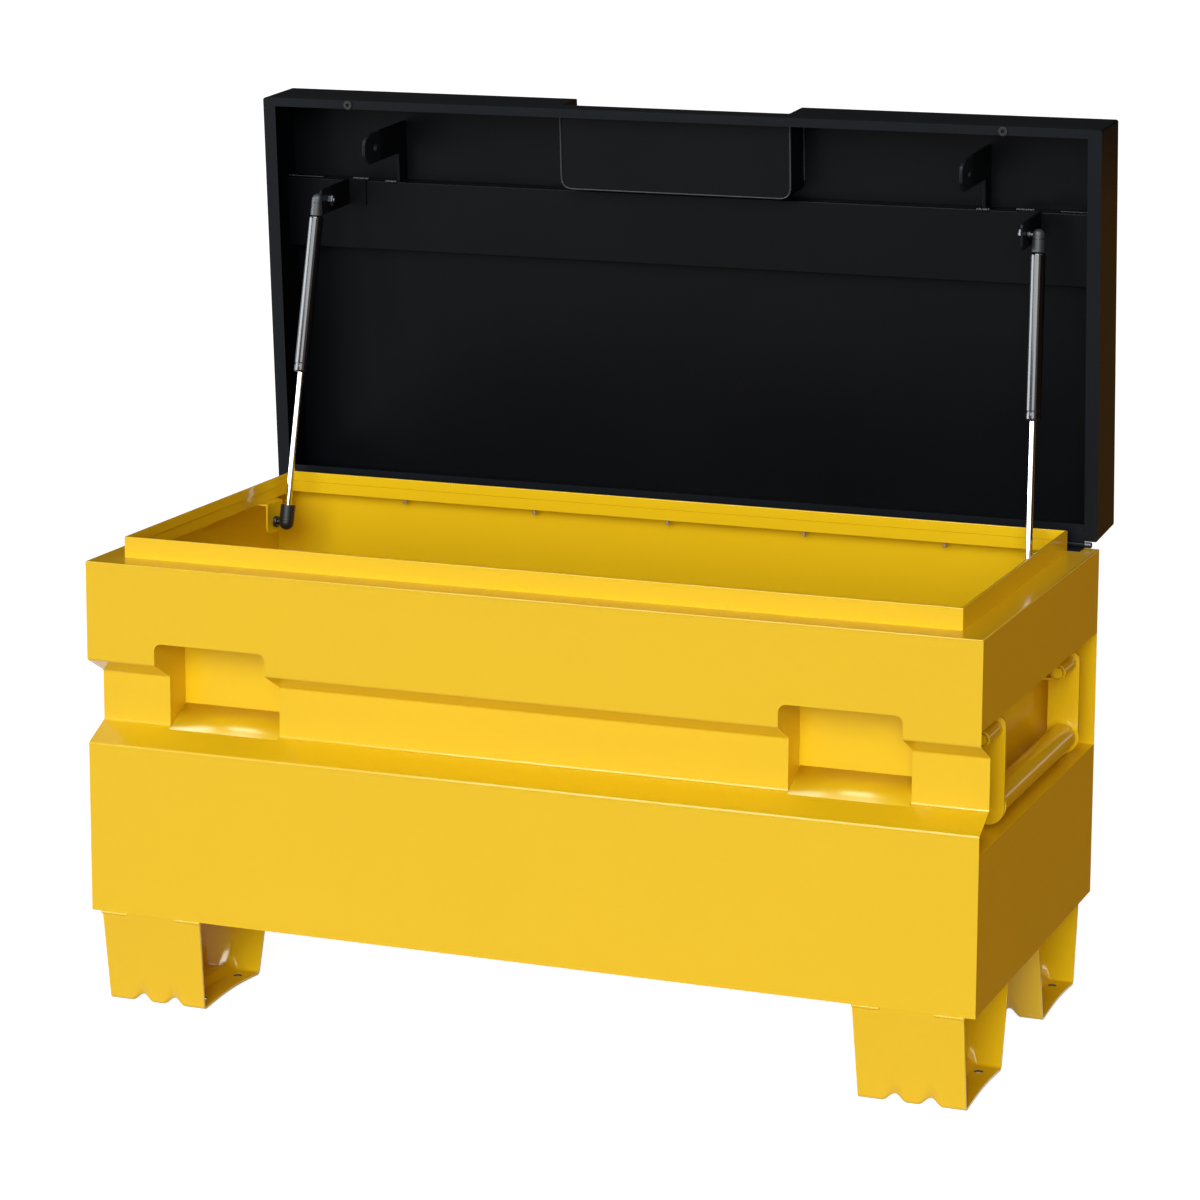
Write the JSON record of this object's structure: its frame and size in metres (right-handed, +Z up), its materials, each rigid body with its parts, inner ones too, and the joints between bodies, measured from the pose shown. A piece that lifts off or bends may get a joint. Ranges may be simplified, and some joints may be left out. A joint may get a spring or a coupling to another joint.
{
  "type": "steel storage box",
  "caption": "Sheet-steel job site storage box on channel feet, with a hinged lid on gas struts, recessed padlock pockets and drop side handles.",
  "frame": {"origin": "on the ground, in the middle of the anchor holes in the four foot soles, under the middle of the body", "axes": "+X to the box's right as seen from its front, +Y to the rear where the lid is hinged, +Z up"},
  "size_m": [1.067, 0.5871, 1.0287],
  "materials": {
    "yellow_paint": "gloss powder coat",
    "black_paint": "fine-textured satin powder coat",
    "strut_enamel": "gloss black enamel",
    "chrome": "polished rod",
    "zinc_steel": "bright zinc plate",
    "black_plastic": "moulded nylon",
    "rubber": "moulded rubber"
  },
  "bodies": {
    "body": {"front_panel": "yellow_paint", "rear_panel": "yellow_paint", "floor_panel": "yellow_paint", "rim_ledge": "yellow_paint", "rim_coaming": "yellow_paint", "hinge_lower_leaf": "black_paint", "hinge_pin": "zinc_steel", "hinge_studs": "zinc_steel", "right_side_panel": "yellow_paint", "right_padlock_pocket": "yellow_paint", "right_lock_staple": "yellow_paint", "front_right_foot": "yellow_paint", "rear_right_foot": "yellow_paint", "right_lower_strut_bracket": "yellow_paint", "right_lower_ball_stud": "zinc_steel", "right_lower_stud_nut": "zinc_steel", "right_front_handle_loop": "yellow_paint", "right_rear_handle_loop": "yellow_paint", "left_side_panel": "yellow_paint", "left_padlock_pocket": "yellow_paint", "left_lock_staple": "yellow_paint", "front_left_foot": "yellow_paint", "rear_left_foot": "yellow_paint", "left_lower_strut_bracket": "yellow_paint", "left_lower_ball_stud": "zinc_steel", "left_lower_stud_nut": "zinc_steel", "left_front_handle_loop": "yellow_paint", "left_rear_handle_loop": "yellow_paint"},
    "lid": {"lid_shell": "black_paint", "lid_notch_tray": "black_paint", "lid_stiffener": "black_paint", "lid_bumpers": "rubber", "hinge_upper_leaf": "black_paint", "right_lock_tab": "black_paint", "right_upper_strut_bracket": "black_paint", "right_upper_stud_nut": "zinc_steel", "left_lock_tab": "black_paint", "left_upper_strut_bracket": "black_paint", "left_upper_stud_nut": "zinc_steel"},
    "right_handle": {"right_handle_front_arm": "yellow_paint", "right_handle_rear_arm": "yellow_paint", "right_handle_front_pin": "yellow_paint", "right_handle_rear_pin": "yellow_paint", "right_handle_grip": "yellow_paint"},
    "right_strut_rod_set": {"right_strut_rod": "chrome", "right_strut_lower_socket": "black_plastic"},
    "right_strut_cylinder_set": {"right_strut_cylinder": "strut_enamel", "right_strut_upper_socket": "black_plastic", "right_upper_ball_stud": "zinc_steel"},
    "left_handle": {"left_handle_front_arm": "yellow_paint", "left_handle_rear_arm": "yellow_paint", "left_handle_front_pin": "yellow_paint", "left_handle_rear_pin": "yellow_paint", "left_handle_grip": "yellow_paint"},
    "left_strut_rod_set": {"left_strut_rod": "chrome", "left_strut_lower_socket": "black_plastic"},
    "left_strut_cylinder_set": {"left_strut_cylinder": "strut_enamel", "left_strut_upper_socket": "black_plastic", "left_upper_ball_stud": "zinc_steel"}
  },
  "joints": [
    {"name": "lid_hinge", "type": "hinge", "parent": "body", "child": "lid", "pos_m": [0, 0.253, 0.532], "axis": [1, 0, 0], "range_deg": [0, 86.1]},
    {"name": "right_strut_swing", "type": "hinge", "parent": "body", "child": "right_strut_rod_set", "pos_m": [0.474, 0.154, 0.502], "axis": [1, 0, 0], "range_deg": [0, 94.58]},
    {"name": "right_strut_slide", "type": "slide", "parent": "right_strut_rod_set", "child": "right_strut_cylinder_set", "axis": [0.0367, -0.1702, -0.9847], "range_m": [0, 0.13264]},
    {"name": "right_handle_swing", "type": "hinge", "parent": "body", "child": "right_handle", "pos_m": [0.5174, 0, 0.405], "axis": [0, -1, 0], "range_deg": [0, 88]},
    {"name": "left_strut_swing", "type": "hinge", "parent": "body", "child": "left_strut_rod_set", "pos_m": [-0.474, 0.154, 0.502], "axis": [1, 0, 0], "range_deg": [0, 94.58]},
    {"name": "left_strut_slide", "type": "slide", "parent": "left_strut_rod_set", "child": "left_strut_cylinder_set", "axis": [-0.0367, -0.1702, -0.9847], "range_m": [0, 0.13264]},
    {"name": "left_handle_swing", "type": "hinge", "parent": "body", "child": "left_handle", "pos_m": [-0.5174, 0, 0.405], "axis": [0, 1, 0], "range_deg": [0, 88]}
  ],
  "couplings": [
    {"joint": "right_strut_swing", "follows": "lid_hinge", "ratio": 1.0985},
    {"joint": "right_strut_slide", "follows": "lid_hinge", "m_per_rad": 0.08826},
    {"joint": "left_strut_swing", "follows": "lid_hinge", "ratio": 1.0985},
    {"joint": "left_strut_slide", "follows": "lid_hinge", "m_per_rad": 0.08826}
  ]
}
